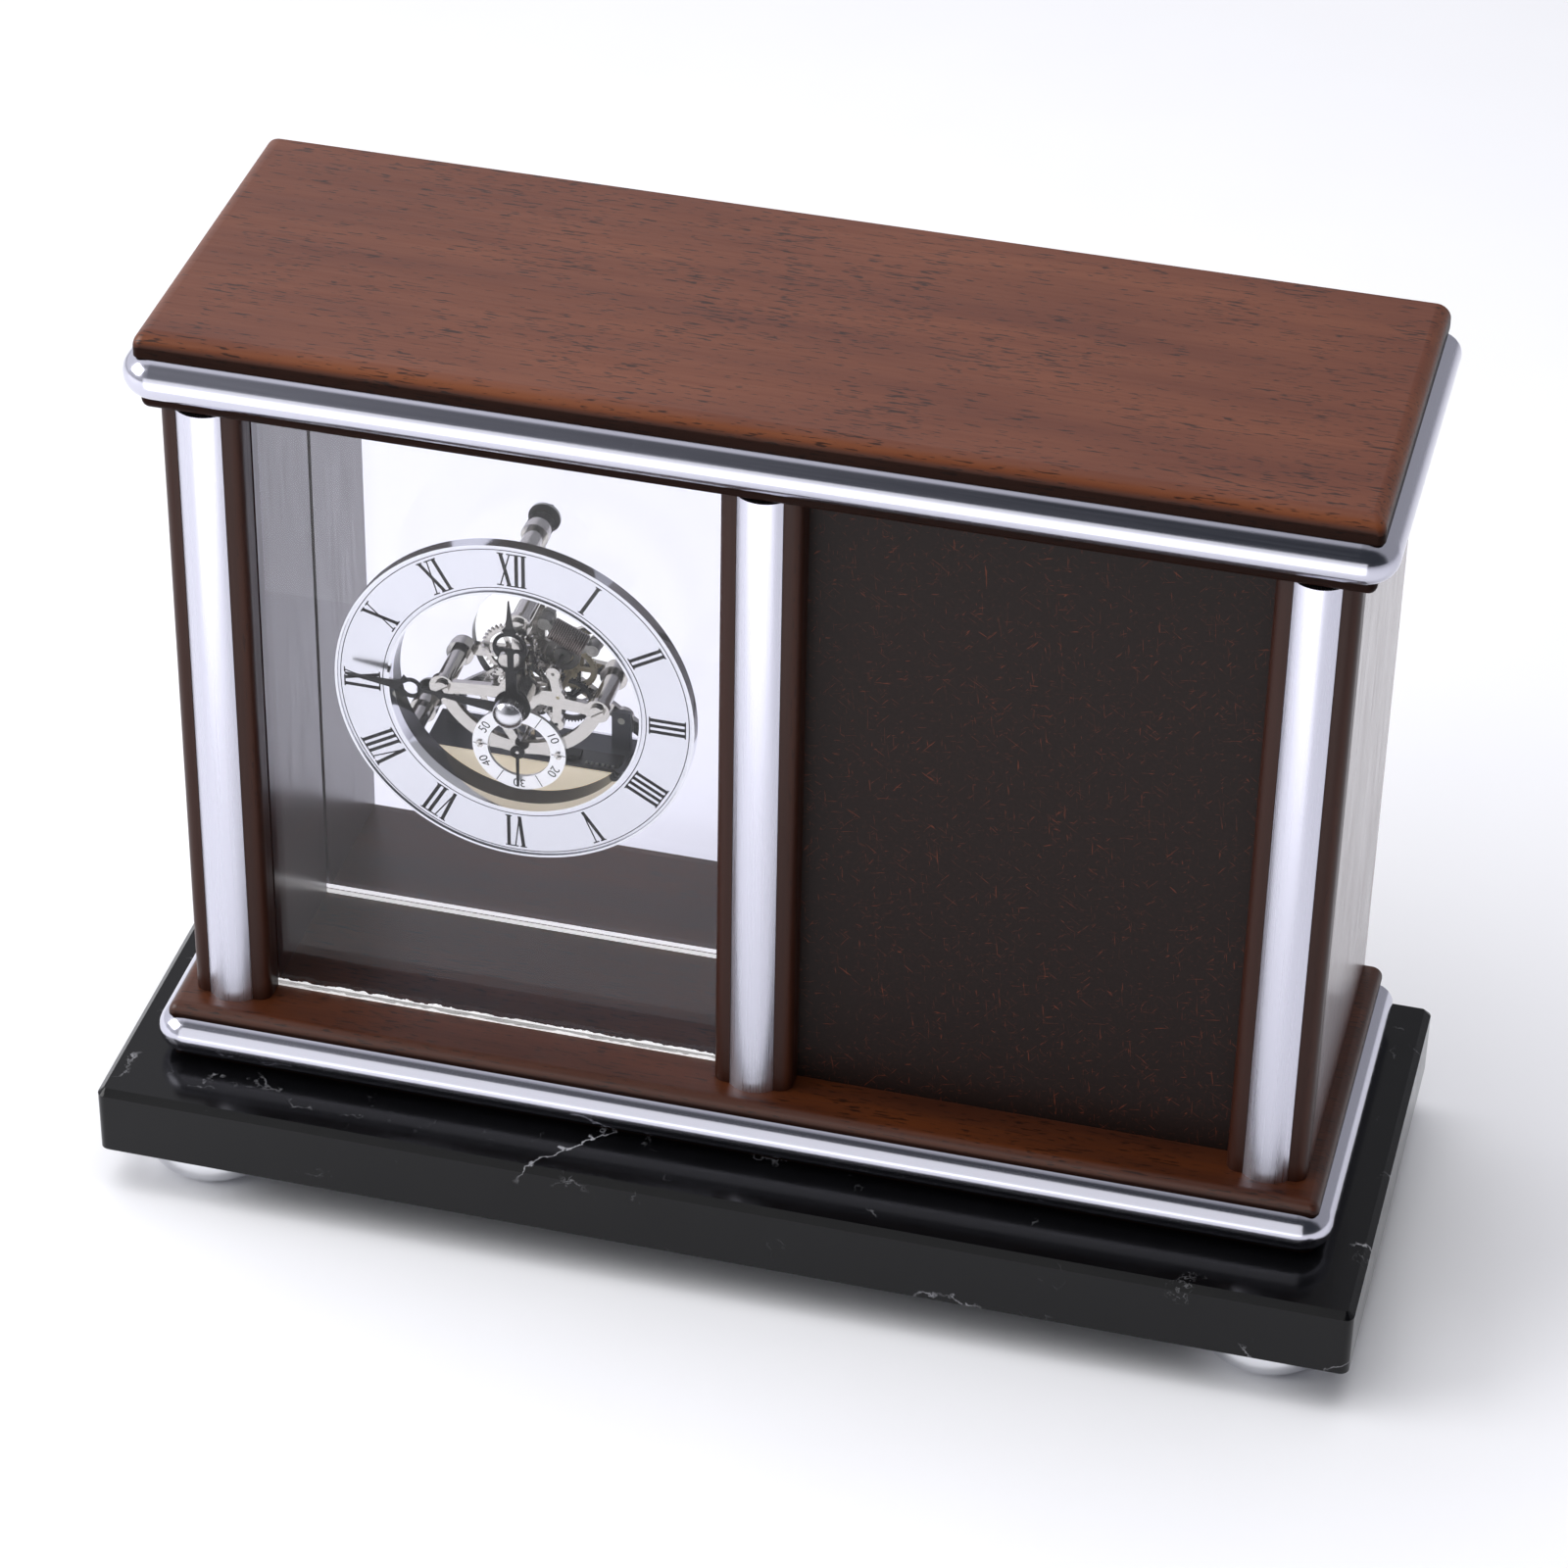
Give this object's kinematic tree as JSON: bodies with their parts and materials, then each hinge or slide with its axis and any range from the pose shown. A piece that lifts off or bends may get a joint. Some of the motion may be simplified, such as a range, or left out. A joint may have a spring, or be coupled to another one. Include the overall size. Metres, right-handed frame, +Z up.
{
  "type": "clock",
  "caption": "Wooden desk clock with a glazed skeleton movement on the left and a blank plaque panel on the right, trimmed with half-round metal, on a black marble slab with bun feet.",
  "frame": {"origin": "on the standing surface under the middle of the marble slab", "axes": "+X to the right as seen from the front, +Y to the back, +Z up"},
  "size_m": [0.3286, 0.1276, 0.2488],
  "materials": {
    "black_marble": "polished black marble with fine white veins",
    "walnut_wood": "red-brown stained wood, satin lacquer",
    "dark_wood": "dark brown stained wood, satin lacquer",
    "beech_wood": "bare beech dowel",
    "anodised_aluminium": "satin half-round aluminium strip",
    "chromed_steel": "polished chrome",
    "zinc_steel": "bright zinc-plated steel",
    "clear_glass": "clear float glass, ground edges",
    "brown_hardboard": "dark hardboard with reddish fibres",
    "brushed_dial": "brushed silver dial with black printing",
    "nickel_plate": "bright nickel plate",
    "cream_plastic": "cream acetal",
    "black_plastic": "black acetal",
    "white_paint": "white lacquered metal with black printing",
    "black_paint": "satin black lacquer",
    "black_rubber": "black rubber",
    "motor_iron": "soft iron, plain",
    "copper_wire": "enamelled copper wire",
    "grey_plastic": "dark grey moulded plastic",
    "black_board": "black solder-masked board",
    "battery_jacket": "plain dark printed steel jacket"
  },
  "bodies": {
    "case": {"bun_feet": "chromed_steel", "foot_pins": "zinc_steel", "stone_slab": "black_marble", "base_screws": "zinc_steel", "plinth_board": "walnut_wood", "case_screws": "zinc_steel", "plinth_band": "anodised_aluminium", "cornice_band": "anodised_aluminium", "left_side_panel": "dark_wood", "partition": "dark_wood", "right_side_panel": "dark_wood", "left_stile": "dark_wood", "middle_stile": "dark_wood", "right_stile": "dark_wood", "left_pilaster": "anodised_aluminium", "middle_pilaster": "anodised_aluminium", "right_pilaster": "anodised_aluminium", "front_glass": "clear_glass", "plaque_panel": "brown_hardboard", "rear_cover": "brown_hardboard", "cover_screws": "zinc_steel", "rear_pane": "clear_glass", "cornice_board": "walnut_wood", "cornice_dowels": "beech_wood", "dial_drum": "chromed_steel", "dial_ring": "brushed_dial", "dial_pillars": "nickel_plate", "pane_spacers": "black_rubber", "pane_washers": "zinc_steel", "pane_nuts": "zinc_steel", "front_plate": "nickel_plate", "back_plate": "nickel_plate", "plate_pillars": "nickel_plate", "plate_screws": "nickel_plate", "seconds_dial": "white_paint", "seconds_dial_screws": "nickel_plate", "centre_bush": "nickel_plate", "stator": "motor_iron", "stator_posts": "motor_iron", "coil_core": "motor_iron", "coil_winding": "copper_wire", "battery_holder": "grey_plastic", "holder_screws": "zinc_steel", "battery": "battery_jacket", "battery_contacts": "zinc_steel", "circuit_board": "black_board"},
    "minute_arbor": {"cannon_pinion": "nickel_plate", "minute_hand": "black_paint", "hand_nut": "chromed_steel"},
    "hour_arbor": {"hour_wheel": "nickel_plate", "hour_hand": "black_paint"},
    "setting_arbor": {"minute_wheel": "nickel_plate", "setting_knob": "grey_plastic"},
    "centre_arbor": {"centre_wheel": "nickel_plate"},
    "third_arbor": {"third_wheel": "nickel_plate"},
    "seconds_arbor": {"fourth_wheel": "nickel_plate", "seconds_hand": "black_paint"},
    "idler_arbor": {"idler_wheel": "black_plastic"},
    "step_arbor": {"step_wheel": "cream_plastic"},
    "rotor_arbor": {"rotor": "motor_iron"}
  },
  "joints": [
    {"name": "minute_turn", "type": "hinge", "parent": "case", "child": "minute_arbor", "pos_m": [-0.065, 0, 0.14], "axis": [0, 1, 0], "continuous": true},
    {"name": "hour_turn", "type": "hinge", "parent": "case", "child": "hour_arbor", "pos_m": [-0.065, 0, 0.14], "axis": [0, 1, 0], "continuous": true},
    {"name": "setting_turn", "type": "hinge", "parent": "case", "child": "setting_arbor", "pos_m": [-0.06839, 0, 0.1493], "axis": [0, 1, 0], "continuous": true},
    {"name": "centre_turn", "type": "hinge", "parent": "case", "child": "centre_arbor", "pos_m": [-0.065, 0, 0.14], "axis": [0, 1, 0], "continuous": true},
    {"name": "third_turn", "type": "hinge", "parent": "case", "child": "third_arbor", "pos_m": [-0.06987, 0, 0.13138], "axis": [0, 1, 0], "continuous": true},
    {"name": "seconds_turn", "type": "hinge", "parent": "case", "child": "seconds_arbor", "pos_m": [-0.065, 0, 0.1234], "axis": [0, 1, 0], "continuous": true},
    {"name": "idler_turn", "type": "hinge", "parent": "case", "child": "idler_arbor", "pos_m": [-0.05531, 0, 0.13236], "axis": [0, 1, 0], "continuous": true},
    {"name": "step_turn", "type": "hinge", "parent": "case", "child": "step_arbor", "pos_m": [-0.0549, 0, 0.1406], "axis": [0, 1, 0], "continuous": true},
    {"name": "rotor_turn", "type": "hinge", "parent": "case", "child": "rotor_arbor", "pos_m": [-0.05612, 0, 0.14751], "axis": [0, 1, 0], "continuous": true}
  ],
  "couplings": [
    {"joint": "hour_turn", "follows": "minute_turn", "ratio": 0.083333},
    {"joint": "setting_turn", "follows": "minute_turn", "ratio": -0.33333},
    {"joint": "idler_turn", "follows": "seconds_turn", "ratio": -1},
    {"joint": "step_turn", "follows": "seconds_turn", "ratio": 4},
    {"joint": "rotor_turn", "follows": "seconds_turn", "ratio": -30},
    {"joint": "third_turn", "follows": "seconds_turn", "ratio": -0.13333},
    {"joint": "centre_turn", "follows": "seconds_turn", "ratio": 0.016667}
  ]
}
